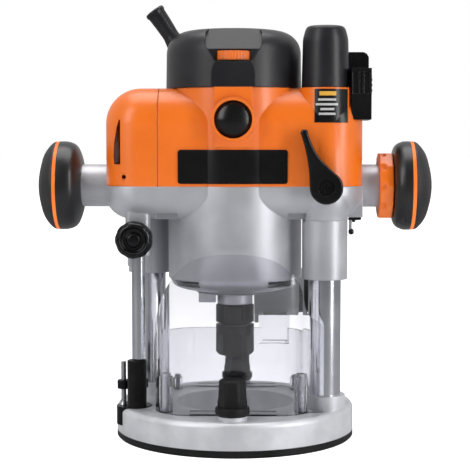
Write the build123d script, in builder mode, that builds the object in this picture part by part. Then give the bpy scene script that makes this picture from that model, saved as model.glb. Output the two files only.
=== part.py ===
from build123d import *
import os
from math import cos, pi, radians, sin

# Plunge router. Origin: centre of the base's underside, on the spindle axis.
# +X to the right handle, +Y to the rear, +Z up. All sizes in millimetres.

# ---- Driving dimensions ----
plunge_travel = 68
base_radius = 89.2
sole_thickness = 5.5
base_top = 25
throat_radius = 45
sole_opening_radius = 43

column_x, column_y = 66.5, 27
column_radius = 12
column_boss_radius = 15.5
column_boss_top = 35
column_foot = 14
left_column_top = 176
right_column_top = 225
spring_bore_radius = 7
column_centres = [(column_x, -column_y), (-column_x, column_y)]

body_left, body_right = -95.8, 94.4
shell_left, shell_right = -94.5, 94
body_half_depth = 46.5
body_bottom = 164
split_z = 188.5
left_well_depth = left_column_top + plunge_travel - split_z + 0.8
body_top = 259.8
body_corner = 27
barrel_radius = 50
barrel_bore = 45.5
sleeve_radius = 16.64
sleeve_bottom = 120.5
bush_radius = 14.2
bush_bore = column_radius + 0.06
tower_y = -27.7
tower_radius = 20.3
seam_x = -54.6

handle_y, handle_z = -8.2, 188.2
handle_tube_radius = 15.8
grip_radius = 32.9
left_grip_x, right_grip_x = 113.2, 117.2
grip_tip_x = 146.3

pinion_module = 1.25
pinion_teeth = 14
pinion_pitch_radius = pinion_module * pinion_teeth / 2
rack_pitch_y = handle_y - pinion_pitch_radius
tooth_pitch = pi * pinion_module
pinion_x0, pinion_length = 60, 13
winder_shaft_radius = 6

cover_x, cover_radius, cover_wall = -0.9, 50.5, 3
cover_top = 303.6
spring_cap_top = 304.6

turret_x, turret_y = -74.4, -24
turret_radius = 13
turret_bottom = 11.8
disc_top = base_top + 0.4
turret_circle = 8
post_top = 60.4
post_angle = -69.5

rod_x, rod_y = -70.1, -31.5
rod_radius = 5
rod_bottom = post_top + 0.3
rod_top = 172
lug_bottom, lug_front = 138, -40
depth_knob_x, depth_knob_z = -71.65, 150.2

guard_wall = 3
guard_side_x = 56
guard_front_y = 61
guard_corner = 25
guard_arch_top = 140.5
guard_shoulder = 80
guard_screw_places = [(-48.3, -46.4), (48.3, -46.4), (-48.3, 46.4), (48.3, 46.4)]
front_boss_height, rear_boss_height = 26, 9
guard_screw_bottom = 19
rear_guard_top = 72

spindle_radius = 9.96
bearing_bore = 10
collet_bore = 6.35
nut_radius = 14.4
nut_bottom = 60.4
nut_top = 98.6
nose_bottom = 99.2
brush_z = 236.7

lock_z = 188
spout_y, spout_z = 71, 100


def polar(radius, angle):
    """Point at a radius and an angle in degrees."""
    return (radius * cos(radians(angle)), radius * sin(radians(angle)))


def above(height):
    """Horizontal plane at a height."""
    return Plane.XY.offset(height)


def facing_front(x, y, z):
    """Plane whose normal points to the front, x to the right and z up."""
    return Plane(origin=(x, y, z), x_dir=(1, 0, 0), z_dir=(0, -1, 0))


def facing_right(x, y, z):
    """Plane whose normal points to the right, y to the rear and z up."""
    return Plane(origin=(x, y, z), x_dir=(0, 1, 0), z_dir=(1, 0, 0))


# Profiles drawn as (radius, height), turned about the spindle axis.
side_profile = Plane.XZ
# Profiles drawn as (along X, radius), turned about the handle axis.
handle_profile = Plane(origin=(0, handle_y, handle_z), x_dir=(1, 0, 0), z_dir=(0, -1, 0))
handle_axis = Axis((0, handle_y, handle_z), (1, 0, 0))

# =====================================================================
# Base
# =====================================================================
sole_screw_circle = 66
table_screw_circle = 64
table_hole_radius = 3.3
sole_angle, table_angle = 45, 60
knob_y = 75
column_bolt_radius = 4

with BuildPart() as sole_plate:
    with BuildSketch():
        Circle(base_radius)
        Circle(sole_opening_radius, mode=Mode.SUBTRACT)
        with PolarLocations(table_screw_circle, 3, table_angle):
            Circle(table_hole_radius, mode=Mode.SUBTRACT)
    extrude(amount=sole_thickness)
    with Locations(Plane(origin=(0, 0, 0), x_dir=(1, 0, 0), z_dir=(0, 0, -1))):
        with PolarLocations(sole_screw_circle, 4, sole_angle):
            CounterSinkHole(radius=2.3, counter_sink_radius=4.6, depth=sole_thickness)
    lower_rims = sole_plate.edges().filter_by(GeomType.CIRCLE).group_by(Axis.Z)[0]
    chamfer(lower_rims.sort_by(SortBy.LENGTH)[-1], 1.2)

with BuildPart() as base_casting:
    with BuildSketch(above(sole_thickness)):
        Circle(base_radius)
        Circle(throat_radius, mode=Mode.SUBTRACT)
    extrude(amount=base_top - sole_thickness)
    upper_rims = base_casting.edges().filter_by(GeomType.CIRCLE).group_by(Axis.Z)[-1]
    fillet(upper_rims.sort_by(SortBy.LENGTH)[-1], 4)
    with BuildSketch(above(sole_thickness)):
        with Locations(*column_centres):
            Circle(column_boss_radius)
    extrude(amount=column_boss_top - sole_thickness)
    with BuildSketch(above(sole_thickness)):
        with Locations((0, -knob_y), (0, knob_y)):
            Circle(10.5)
    extrude(amount=28 - sole_thickness)
    # Lightening pockets in the underside, between ribs and screw bosses.
    with BuildSketch(above(sole_thickness)):
        Circle(81)
        Circle(throat_radius + 5, mode=Mode.SUBTRACT)
        with Locations(*column_centres):
            Circle(column_boss_radius + 1, mode=Mode.SUBTRACT)
        with PolarLocations(sole_screw_circle, 4, sole_angle):
            Circle(6, mode=Mode.SUBTRACT)
        with PolarLocations(table_screw_circle, 3, table_angle):
            Circle(7, mode=Mode.SUBTRACT)
        with Locations((0, -knob_y), (0, knob_y)):
            Circle(8, mode=Mode.SUBTRACT)
        with Locations((turret_x, turret_y)):
            Circle(turret_radius + 3.5, mode=Mode.SUBTRACT)
        with PolarLocations(sole_screw_circle, 8, 0):
            Rectangle(36, 4, mode=Mode.SUBTRACT)
    extrude(amount=12, mode=Mode.SUBTRACT)
    # Column sockets, with a counterbore below for each bolt head.
    with BuildSketch(above(column_foot)):
        with Locations(*column_centres):
            Circle(column_radius)
    extrude(amount=column_boss_top, mode=Mode.SUBTRACT)
    with BuildSketch(above(sole_thickness)):
        with Locations(*column_centres):
            Circle(7.2)
    extrude(amount=5.5, mode=Mode.SUBTRACT)
    with BuildSketch(above(sole_thickness)):
        with Locations(*column_centres):
            Circle(column_bolt_radius)
    extrude(amount=base_top, mode=Mode.SUBTRACT)
    # Turret pocket, and the counterbored hole for its screw.
    with BuildSketch(above(turret_bottom - 0.3)):
        with Locations((turret_x, turret_y)):
            Circle(turret_radius + 0.5)
    extrude(amount=base_top, mode=Mode.SUBTRACT)
    with BuildSketch(above(sole_thickness)):
        with Locations((turret_x, turret_y)):
            Circle(3.08)
    extrude(amount=base_top, mode=Mode.SUBTRACT)
    with BuildSketch(above(sole_thickness)):
        with Locations((turret_x, turret_y)):
            Circle(6)
    extrude(amount=3.7, mode=Mode.SUBTRACT)
    # Threaded holes: fence knobs from above, sole and table screws from below.
    with BuildSketch(above(12)):
        with Locations((0, -knob_y), (0, knob_y)):
            Circle(3.45)
    extrude(amount=20, mode=Mode.SUBTRACT)
    with BuildSketch(above(sole_thickness)):
        with PolarLocations(sole_screw_circle, 4, sole_angle):
            Circle(2)
        with PolarLocations(table_screw_circle, 3, table_angle):
            Circle(2.5)
    extrude(amount=12, mode=Mode.SUBTRACT)
    with BuildSketch(above(guard_screw_bottom)):
        with Locations(*guard_screw_places):
            Circle(1.8)
    extrude(amount=20, mode=Mode.SUBTRACT)

# Countersunk screws: cone head in the sole, shank in the casting.
with BuildPart() as sole_screws:
    with BuildSketch(side_profile):
        with Locations((sole_screw_circle, 0)):
            Polygon((0, 0.3), (4.3, 0.3), (2, 2.6), (2, 16), (0, 16), align=None)
    revolve(axis=Axis((sole_screw_circle, 0, 0), (0, 0, 1)))
    with BuildSketch(above(0.3)):
        with Locations((sole_screw_circle, 0)):
            Rectangle(4.6, 0.9)
            Rectangle(0.9, 4.6)
    extrude(amount=1.2, mode=Mode.SUBTRACT)
sole_screw = sole_screws.part
with BuildPart() as sole_screws:
    for turn in range(4):
        add(sole_screw.rotate(Axis.Z, sole_angle + 90 * turn))


def make_column(centre, top, bore_from):
    """Guide column: chamfered tube, tapped below, bored above bore_from."""
    with BuildPart() as column:
        with BuildSketch(above(column_foot)):
            with Locations(centre):
                Circle(column_radius)
        extrude(amount=top - column_foot)
        chamfer(column.edges().filter_by(GeomType.CIRCLE).group_by(Axis.Z)[-1], 1)
        with BuildSketch(above(bore_from)):
            with Locations(centre):
                Circle(spring_bore_radius)
        extrude(amount=top, mode=Mode.SUBTRACT)
        with BuildSketch(above(column_foot)):
            with Locations(centre):
                Circle(column_bolt_radius)
        extrude(amount=18, mode=Mode.SUBTRACT)
    return column.part


column_bore_from = 36
with BuildPart() as column_left:
    add(make_column(column_centres[1], left_column_top, column_bore_from))

# The rack is cut in the back of the right column; its gaps line up with the pinion.
rack_tip_y = rack_pitch_y + pinion_module
rack_root_y = rack_pitch_y - 1.25 * pinion_module
rack_first, rack_last = -19, 3
with BuildPart() as column_right:
    add(make_column(column_centres[0], right_column_top, column_bore_from))
    with BuildSketch(facing_right(column_x - column_radius, 0, handle_z)):
        for step in range(rack_first, rack_last):
            with Locations((0, step * tooth_pitch)):
                Polygon(
                    (rack_root_y, -0.19 * tooth_pitch),
                    (rack_tip_y + 1.5, -0.47 * tooth_pitch),
                    (rack_tip_y + 1.5, 0.47 * tooth_pitch),
                    (rack_root_y, 0.19 * tooth_pitch),
                    align=None,
                )
    extrude(amount=2 * column_radius, mode=Mode.SUBTRACT)
    with BuildSketch(facing_right(column_x - column_radius, 0, handle_z)):
        with Locations((rack_tip_y, (rack_first + rack_last - 1) / 2 * tooth_pitch)):
            Rectangle(3, (rack_last - rack_first) * tooth_pitch, align=(Align.MIN, Align.CENTER))
    extrude(amount=2 * column_radius, mode=Mode.SUBTRACT)

with BuildPart() as column_bolts:
    with BuildSketch(above(sole_thickness + 0.3)):
        with Locations(*column_centres):
            Circle(6.6)
            RegularPolygon(3.4, 6, mode=Mode.SUBTRACT)
    extrude(amount=5.2)
    with BuildSketch(above(9)):
        with Locations(*column_centres):
            Circle(column_bolt_radius)
    extrude(amount=21)

spring_radius, spring_wire = 5.6, 1.3
spring_bottom, spring_top = column_bore_from, 301.4
with BuildPart() as plunge_spring:
    spring_height = spring_top - spring_bottom - 2 * spring_wire / 2
    with BuildLine():
        Helix(
            pitch=spring_height / 38,
            height=spring_height,
            radius=spring_radius,
            center=(column_x, -column_y, spring_bottom + spring_wire / 2),
        )
    with BuildSketch(
        Plane(
            origin=(column_x + spring_radius, -column_y, spring_bottom + spring_wire / 2),
            z_dir=(0, 1, 0),
        )
    ):
        Circle(spring_wire / 2)
    sweep(is_frenet=True)


def make_guard(height, boss_height):
    """Wall round the front of the cutter: D shape, sweeping out to a wing on the right."""
    turn = 42
    bend = (guard_front_y - column_y - 19.5 - guard_corner * (1 - cos(radians(90 - turn)))) / (
        1 - cos(radians(90 - turn))
    )
    corner_x = guard_side_x - guard_corner
    corner_y = guard_front_y - guard_corner
    with BuildPart() as guard:
        with BuildSketch(above(base_top)):
            with BuildLine():
                Line((-guard_side_x, -6), (-guard_side_x, -corner_y))
                CenterArc((-corner_x, -corner_y), guard_corner, 180, 90)
                Line((-corner_x, -guard_front_y), (corner_x, -guard_front_y))
                arc = CenterArc((corner_x, -corner_y), guard_corner, 270, 90 - turn)
                out = JernArc(arc @ 1, arc % 1, bend, -(90 - turn))
                Line(out @ 1, (65, (out @ 1).Y))
            trace(line_width=guard_wall)
        extrude(amount=height - base_top)
        # Foot along the inside of the front wall.
        with BuildSketch(above(base_top)):
            with Locations((0, -guard_front_y)):
                Rectangle(2 * corner_x, 7, align=(Align.CENTER, Align.MIN))
        extrude(amount=2.5)
        # Screw bosses in the two front corners.
        with BuildSketch(above(base_top)):
            with Locations(*guard_screw_places[:2]):
                Circle(4.5)
        extrude(amount=boss_height)
        with BuildSketch(above(base_top)):
            with Locations(*guard_screw_places[:2]):
                Circle(1.8)
        extrude(amount=40, mode=Mode.SUBTRACT)
    return guard.part


with BuildPart() as guard_front:
    add(make_guard(guard_arch_top + 1, front_boss_height))
    with BuildSketch(side_profile):
        with BuildLine():
            arch = Spline(
                (-guard_side_x - 1.5, guard_shoulder),
                (-50.5, 111),
                (-33, 134),
                (0, guard_arch_top),
                (33, 134),
                (50, 112),
                (55, 95.5),
                (62.5, 90),
                (66, guard_shoulder),
            )
            Polyline(arch @ 1, (66, base_top), (-guard_side_x - 1.5, base_top), arch @ 0)
        make_face()
    extrude(amount=base_radius, mode=Mode.INTERSECT)
    with Locations((-guard_side_x, 0, guard_shoulder)):
        Box(
            8,
            2 * (guard_front_y - guard_corner - 2),
            60,
            align=(Align.CENTER, Align.CENTER, Align.MIN),
            mode=Mode.SUBTRACT,
        )

duct_x, duct_width, duct_wall = 31, 26, 2.5
duct_rear, duct_bottom = 69, 59
spout_radius, spout_bore = 19, 16.4
with BuildPart() as guard_rear:
    add(make_guard(rear_guard_top, rear_boss_height).rotate(Axis.Z, 180))
    # Clear duct that leads up to the dust pipe.
    with BuildSketch(above(duct_bottom)):
        with Locations((duct_x, (guard_front_y + duct_rear) / 2)):
            Rectangle(duct_width, duct_rear - guard_front_y)
    extrude(amount=spout_z - duct_bottom)
    with Locations((duct_x, duct_rear - duct_wall, duct_bottom + duct_wall)):
        Box(
            duct_width - 2 * duct_wall,
            20,
            40,
            align=(Align.CENTER, Align.MAX, Align.MIN),
            mode=Mode.SUBTRACT,
        )
    with BuildSketch(facing_right(0, spout_y, spout_z)):
        Circle(spout_radius)
    extrude(amount=60, mode=Mode.SUBTRACT)
    with Locations((duct_x, spout_y, spout_z - 4)):
        Box(60, 40, 20, align=(Align.CENTER, Align.CENTER, Align.MIN), mode=Mode.SUBTRACT)

front_screws, rear_screws = guard_screw_places[:2], guard_screw_places[2:]
with BuildPart() as guard_screws:
    for places, boss_height in ((front_screws, front_boss_height), (rear_screws, rear_boss_height)):
        with BuildSketch(above(base_top + boss_height)):
            with Locations(*places):
                Circle(3.1)
                RegularPolygon(1.6, 6, mode=Mode.SUBTRACT)
        extrude(amount=2.4)
        with BuildSketch(above(guard_screw_bottom)):
            with Locations(*places):
                Circle(1.75)
        extrude(amount=base_top + boss_height - guard_screw_bottom)

spout_left, spout_right = 14, 53.6
with BuildPart() as dust_spout:
    with BuildSketch(facing_right(spout_left, spout_y, spout_z)):
        Circle(spout_radius)
    extrude(amount=spout_right - spout_left)
    with BuildSketch(facing_right(spout_left + 3, spout_y, spout_z)):
        Circle(spout_bore)
    extrude(amount=60, mode=Mode.SUBTRACT)
    # Opening over the duct.
    with Locations((duct_x, duct_rear - duct_wall, spout_z - 22)):
        Box(duct_width - 6, 6.5, 9, align=(Align.CENTER, Align.MAX, Align.MIN), mode=Mode.SUBTRACT)
    # Bracket below the closed end.
    with Locations((spout_left + 1.8, spout_y - 7, 76)):
        Box(3.4, 5, 8.5, align=(Align.CENTER, Align.CENTER, Align.MIN))

collar_radius, collar_bore = 16.8, 13.8
with BuildPart() as dust_collar:
    with BuildSketch(facing_right(spout_left + 26, spout_y, spout_z)):
        Circle(spout_bore)
    extrude(amount=spout_right - spout_left - 26)
    with BuildSketch(facing_right(spout_right, spout_y, spout_z)):
        Circle(collar_radius)
    extrude(amount=8)
    chamfer(dust_collar.edges().filter_by(GeomType.CIRCLE).group_by(Axis.X)[-1], 0.8)
    with BuildSketch(facing_right(spout_left, spout_y, spout_z)):
        Circle(collar_bore)
    extrude(amount=60, mode=Mode.SUBTRACT)

# =====================================================================
# Depth turret
# =====================================================================
low_stop = polar(turret_circle, post_angle + 120)
mid_stop = polar(turret_circle, post_angle - 120)
post_at = polar(turret_circle, post_angle)
turret_centre = (turret_x, turret_y)


def from_turret(point):
    return (turret_x + point[0], turret_y + point[1])


stop_screw_radius = 2
with BuildPart() as turret_disc:
    with BuildSketch(above(turret_bottom)):
        with Locations(turret_centre):
            Circle(turret_radius)
            with PolarLocations(turret_radius + 0.5, 30):
                Circle(0.9, mode=Mode.SUBTRACT)
            Circle(3, mode=Mode.SUBTRACT)
    extrude(amount=disc_top - turret_bottom)
    with BuildSketch(above(base_top - 5)):
        with Locations(from_turret(low_stop), from_turret(mid_stop)):
            Circle(stop_screw_radius)
    extrude(amount=10, mode=Mode.SUBTRACT)

with BuildPart() as turret_post:
    with BuildSketch(above(disc_top)):
        with Locations(from_turret(post_at)):
            Circle(7.1)
    extrude(amount=post_top - disc_top)
    chamfer(turret_post.edges().group_by(Axis.Z)[-1], 0.6)

with BuildPart() as turret_stop_screws:
    for place, top in ((mid_stop, 57.8), (low_stop, 49.5)):
        with BuildSketch(above(base_top - 5)):
            with Locations(from_turret(place)):
                Circle(stop_screw_radius)
        extrude(amount=top - base_top + 5)
        with BuildSketch(above(disc_top)):
            with Locations(from_turret(place)):
                Circle(3.4)
        extrude(amount=2.4, taper=20)

nut_bottom_z, nut_height = 37.6, 6.4
with BuildPart() as turret_stop_nuts:
    with BuildSketch(above(nut_bottom_z)):
        with Locations(from_turret(mid_stop), from_turret(low_stop)):
            Circle(4.8)
            Circle(stop_screw_radius, mode=Mode.SUBTRACT)
    extrude(amount=nut_height)
    chamfer(turret_stop_nuts.edges().filter_by(GeomType.CIRCLE).group_by(Axis.Z)[-1], 0.4)

with BuildPart() as turret_screw:
    with BuildSketch(above(sole_thickness + 0.3)):
        with Locations(turret_centre):
            Circle(5.6)
            RegularPolygon(2.2, 6, mode=Mode.SUBTRACT)
    extrude(amount=3.1)
    with BuildSketch(above(sole_thickness + 2.4)):
        with Locations(turret_centre):
            Circle(3)
    extrude(amount=13)


# =====================================================================
# Fence knobs
# =====================================================================
def make_fence_knob(y):
    """Flared knob with six flats, on a threaded stud."""
    with BuildPart() as knob:
        with BuildSketch(Plane(origin=(0, y, 0), x_dir=(1, 0, 0), z_dir=(0, -1, 0))):
            with BuildLine():
                flare = Spline((12.2, 33), (10.6, 38), (9.9, 43), tangents=((-0.1, 1), (0, 1)))
                Polyline(
                    flare @ 1, (9.5, 52.6), (8.3, 53.8), (0, 53.8), (0, 28.3), (11.2, 28.3),
                    (12.2, 30), flare @ 0,
                )
            make_face()
        revolve(axis=Axis((0, y, 0), (0, 0, 1)))
        with BuildSketch(above(34)):
            with Locations((0, y)):
                Circle(16)
                RegularPolygon(9.1, 6, major_radius=False, mode=Mode.SUBTRACT)
        extrude(amount=25, mode=Mode.SUBTRACT)
        with BuildSketch(above(14)):
            with Locations((0, y)):
                Circle(3.4)
        extrude(amount=15)
    return knob.part


with BuildPart() as fence_knob_front:
    add(make_fence_knob(-knob_y))
with BuildPart() as fence_knob_rear:
    add(make_fence_knob(knob_y))

# =====================================================================
# Carriage: lower housing
# =====================================================================
body_width = body_right - body_left
body_centre = (body_left + body_right) / 2
lock_hole_radius = 4.2
socket_bottom = 165.4
housing_screw_places = [(-67, -6), (-88, 15), (64, 22), (84, 28)]
# Ribs that tie the upper posts to the shell: centre, then size along X and Y.
screw_post_ribs = [((-67, -15), (3, 18)), ((-89.5, 15), (5, 3)), ((64, 33), (3, 22)), ((84, 34), (3, 12))]
exhaust_z, exhaust_height = 114.6, 4.6
exhaust_angles = (-137, -43, 0, 43, 137, 180)
exhaust_sweep = 33

with BuildPart() as lower_housing:
    with BuildSketch(above(body_bottom)):
        with Locations((body_centre, 0)):
            RectangleRounded(body_width, 2 * body_half_depth, body_corner)
    extrude(amount=split_z - body_bottom)
    fillet(lower_housing.edges().group_by(Axis.Z)[0], 20)
    with BuildSketch(above(body_bottom + 7)):
        with Locations((body_centre, 0)):
            RectangleRounded(body_width - 18, 2 * body_half_depth - 18, body_corner - 9)
    extrude(amount=split_z, mode=Mode.SUBTRACT)
    # Motor barrel with its dished bottom and bearing nose.
    with BuildSketch(side_profile):
        with BuildLine():
            dish = Spline(
                (50, 121), (47.8, 115.2), (40, 111.4), (27, 108.8), (13.2, 107.4),
                tangents=((0, -1), (-1, 0)),
            )
            Polyline(dish @ 1, (13.2, nose_bottom), (0, nose_bottom), (0, split_z), (50, split_z), dish @ 0)
        make_face()
    revolve(axis=Axis.Z)
    # Tower over the right column, running down into its sleeve.
    with BuildSketch(Plane(origin=(column_x, tower_y, 0), x_dir=(1, 0, 0), z_dir=(0, -1, 0))):
        with BuildLine():
            foot = Spline(
                (sleeve_radius, body_bottom), (18.4, 170), (tower_radius, 180),
                tangents=((0.1, 1), (0, 1)),
            )
            Polyline(foot @ 1, (tower_radius, split_z), (0, split_z), (0, body_bottom), foot @ 0)
        make_face()
    revolve(axis=Axis((column_x, tower_y, 0), (0, 0, 1)))
    with BuildSketch(above(sleeve_bottom)):
        with Locations(*column_centres):
            Circle(sleeve_radius)
    extrude(amount=split_z - sleeve_bottom)
    # Lug that carries the depth rod and its lock knob.
    with BuildSketch(above(lug_bottom)):
        with Locations((rod_x, lug_front + 9)):
            RectangleRounded(18, 18, 4)
    extrude(amount=split_z - lug_bottom)
    # Pad behind the rod.
    with BuildSketch(above(129)):
        with Locations((rod_x - 4.6, -16)):
            RectangleRounded(9, 14, 2)
    extrude(amount=body_bottom + 2 - 129)
    # Catch block beside the spindle.
    with Locations((-20.6, -6, 100.8)):
        Box(12.6, 10, 10, align=(Align.CENTER, Align.CENTER, Align.MIN))
    # Squared socket for the right handle tube.
    with Locations((body_right, handle_y, socket_bottom)):
        Box(11, 32, split_z - socket_bottom, align=(Align.MAX, Align.CENTER, Align.MIN))
    # Screw posts that meet those of the upper shell.
    with BuildSketch(above(body_bottom + 5)):
        with Locations(*housing_screw_places):
            Circle(5)
    extrude(amount=split_z - body_bottom - 5)
    # Motor space, fan chamber, bearing seat and spindle hole.
    with BuildSketch(above(124)):
        Circle(barrel_bore)
    extrude(amount=split_z, mode=Mode.SUBTRACT)
    with BuildSketch(above(116)):
        Circle(42.5)
        Circle(25, mode=Mode.SUBTRACT)
    extrude(amount=10, mode=Mode.SUBTRACT)
    with BuildSketch(above(110)):
        Circle(21)
    extrude(amount=20, mode=Mode.SUBTRACT)
    with BuildSketch(above(90)):
        Circle(11.4)
    extrude(amount=30, mode=Mode.SUBTRACT)
    # Exhaust slots round the bottom of the barrel.
    for angle in exhaust_angles:
        with BuildSketch(above(exhaust_z)):
            with BuildLine():
                outer = CenterArc((0, 0), 53, angle - exhaust_sweep / 2, exhaust_sweep)
                inner = CenterArc((0, 0), 38, angle - exhaust_sweep / 2, exhaust_sweep)
                Line(outer @ 0, inner @ 0)
                Line(outer @ 1, inner @ 1)
            make_face()
        extrude(amount=exhaust_height, mode=Mode.SUBTRACT)
    # Column bores, seats for the bushes.
    with BuildSketch(above(sleeve_bottom - 1)):
        with Locations(*column_centres):
            Circle(bush_radius)
    extrude(amount=100, mode=Mode.SUBTRACT)
    # Depth rod hole, knob screw hole.
    with BuildSketch(above(lug_bottom - 1)):
        with Locations((rod_x, rod_y)):
            Circle(rod_radius + 0.06)
    extrude(amount=100, mode=Mode.SUBTRACT)
    with BuildSketch(facing_front(depth_knob_x, rod_y, depth_knob_z)):
        Circle(2.95)
    extrude(amount=30, mode=Mode.SUBTRACT)
    # Room for the pinion, the handle tubes and the lock bolt.
    with BuildSketch(facing_right(pinion_x0 - 0.6, handle_y, handle_z)):
        Circle(pinion_pitch_radius + pinion_module + 0.7)
    extrude(amount=pinion_length + 1.2, mode=Mode.SUBTRACT)
    with BuildSketch(facing_right(pinion_x0 - 4.4, handle_y, handle_z)):
        Circle(winder_shaft_radius + 0.06)
    extrude(amount=60, mode=Mode.SUBTRACT)
    for tube_x in (-125, 80):
        with BuildSketch(facing_right(tube_x, handle_y, handle_z)):
            Circle(handle_tube_radius)
        extrude(amount=45, mode=Mode.SUBTRACT)
    with BuildSketch(facing_front(column_x, -column_y - 5, lock_z)):
        Circle(lock_hole_radius)
    extrude(amount=30, mode=Mode.SUBTRACT)
    with BuildSketch(above(body_bottom - 1)):
        with Locations(*housing_screw_places):
            Circle(2)
    extrude(amount=30, mode=Mode.SUBTRACT)
    with BuildSketch(above(body_bottom - 1)):
        with Locations(*housing_screw_places):
            Circle(3.6)
    extrude(amount=6, mode=Mode.SUBTRACT)
    # Reliefs for the guard at the two front corners of the barrel.
    for side, width in ((-49.5, 17), (46, 12.5)):
        with Locations((side, -39, body_bottom - 1)):
            Box(width, 20, 6, align=(Align.CENTER, Align.CENTER, Align.MIN), mode=Mode.SUBTRACT)

with BuildPart() as column_bushes:
    for bottom, height in ((sleeve_bottom + 0.5, 22), (150, 24)):
        with BuildSketch(above(bottom)):
            with Locations(*column_centres):
                Circle(bush_radius)
                Circle(bush_bore, mode=Mode.SUBTRACT)
        extrude(amount=height)

# =====================================================================
# Carriage: upper shell, cut at the seam into motor housing and end cover
# =====================================================================
band_half = 13.7
band_front = 54
brush_boss_radius = 15.8
brush_cap_radius = 13.3
switch_x0, switch_x1 = 72, 99.4
switch_y0, switch_y1 = -8, 24
switch_bottom, switch_top = 236.8, 287
switch_ledge, switch_arm_x, switch_arm_y = 273.8, 85, -38

shell_width = shell_right - shell_left
shell_centre = (shell_left + shell_right) / 2
with BuildPart() as upper_shell:
    with BuildSketch(above(split_z)):
        with Locations((shell_centre, 0)):
            RectangleRounded(shell_width, 2 * body_half_depth, body_corner)
    extrude(amount=body_top - split_z)
    fillet(upper_shell.edges().group_by(Axis.Z)[-1], 26)
    with BuildPart(mode=Mode.PRIVATE) as inner_room:
        with BuildSketch(above(split_z)):
            with Locations((shell_centre, 0)):
                RectangleRounded(shell_width - 8, 2 * body_half_depth - 8, body_corner - 4)
        extrude(amount=body_top - split_z - 4)
        fillet(inner_room.edges().group_by(Axis.Z)[-1], 22)
    add(inner_room.part, mode=Mode.SUBTRACT)
    with BuildSketch(above(split_z)):
        Circle(barrel_radius)
    extrude(amount=body_top - split_z)
    with BuildSketch(above(split_z)):
        with Locations((column_x, tower_y)):
            Circle(tower_radius)
    extrude(amount=body_top - split_z, taper=1.2)
    with BuildSketch(above(split_z)):
        with Locations(*housing_screw_places):
            Circle(5)
        for centre, size in screw_post_ribs:
            with Locations(centre):
                Rectangle(*size)
    extrude(amount=16)
    with BuildSketch(above(split_z)):
        with Locations(column_centres[1]):
            Circle(bush_radius + 2.4)
    extrude(amount=left_well_depth + 0.8)
    with BuildSketch(above(split_z)):
        with Locations((rod_x, rod_y)):
            Circle(8.5)
    extrude(amount=57)
    # Front and rear bands that fade out below the brush bosses.
    with BuildSketch(facing_right(-band_half, 0, 0)):
        for side in (-1, 1):
            Polygon(
                (side * 40, body_top), (side * band_front, body_top), (side * band_front, 238),
                (side * 50.2, 217), (side * 40, 217), align=None,
            )
    extrude(amount=2 * band_half)
    with BuildSketch(facing_front(0, 57, brush_z)):
        Circle(brush_boss_radius)
    extrude(amount=114)
    # Motor space with a bridge over it for the top bearing.
    with BuildSketch(above(split_z)):
        Circle(barrel_bore)
    extrude(amount=255 - split_z, mode=Mode.SUBTRACT)
    with BuildSketch(above(split_z)):
        Circle(13)
        with PolarLocations(28, 8):
            Circle(7)
    extrude(amount=100, mode=Mode.SUBTRACT)
    # Brush holder bores, and the wider mouth for each brush cap.
    with BuildSketch(facing_front(0, 70, brush_z)):
        Circle(7)
    extrude(amount=140, mode=Mode.SUBTRACT)
    for mouth in (facing_front(0, -52, brush_z), facing_front(0, 70, brush_z)):
        with BuildSketch(mouth):
            Circle(brush_cap_radius + 0.3)
        extrude(amount=18, mode=Mode.SUBTRACT)
    # Column and rod wells.
    with BuildSketch(above(split_z)):
        with Locations(*column_centres):
            Circle(bush_radius)
    extrude(amount=left_well_depth, mode=Mode.SUBTRACT)
    with BuildSketch(above(split_z)):
        with Locations(column_centres[0]):
            Circle(13)
    extrude(amount=100, mode=Mode.SUBTRACT)
    with BuildSketch(above(split_z)):
        with Locations((rod_x, rod_y)):
            Circle(rod_radius + 0.8)
    extrude(amount=55, mode=Mode.SUBTRACT)
    # Pinion, handle tubes, lock bolt.
    with BuildSketch(facing_right(pinion_x0 - 0.6, handle_y, handle_z)):
        Circle(pinion_pitch_radius + pinion_module + 0.7)
    extrude(amount=pinion_length + 1.2, mode=Mode.SUBTRACT)
    with BuildSketch(facing_right(pinion_x0 - 4.4, handle_y, handle_z)):
        Circle(winder_shaft_radius + 0.06)
    extrude(amount=60, mode=Mode.SUBTRACT)
    for tube_x in (-125, 80):
        with BuildSketch(facing_right(tube_x, handle_y, handle_z)):
            Circle(handle_tube_radius)
        extrude(amount=45, mode=Mode.SUBTRACT)
    with BuildSketch(facing_front(column_x, -column_y - 5, lock_z)):
        Circle(lock_hole_radius)
    extrude(amount=30, mode=Mode.SUBTRACT)
    with BuildSketch(above(split_z)):
        with Locations(*housing_screw_places):
            Circle(1.7)
    extrude(amount=12, mode=Mode.SUBTRACT)
    # Seat for the switch housing.
    with Locations((switch_x0, (switch_y0 + switch_y1) / 2, switch_bottom)):
        Box(
            60,
            switch_y1 - switch_y0,
            60,
            align=(Align.MIN, Align.CENTER, Align.MIN),
            mode=Mode.SUBTRACT,
        )
    with Locations((switch_arm_x, switch_arm_y, switch_bottom)):
        Box(30, 40, 60, align=(Align.MIN, Align.MIN, Align.MIN), mode=Mode.SUBTRACT)

with BuildPart() as motor_housing:
    add(upper_shell.part)
    split(bisect_by=Plane(origin=(seam_x, 0, 0), z_dir=(1, 0, 0)), keep=Keep.TOP)

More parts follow.
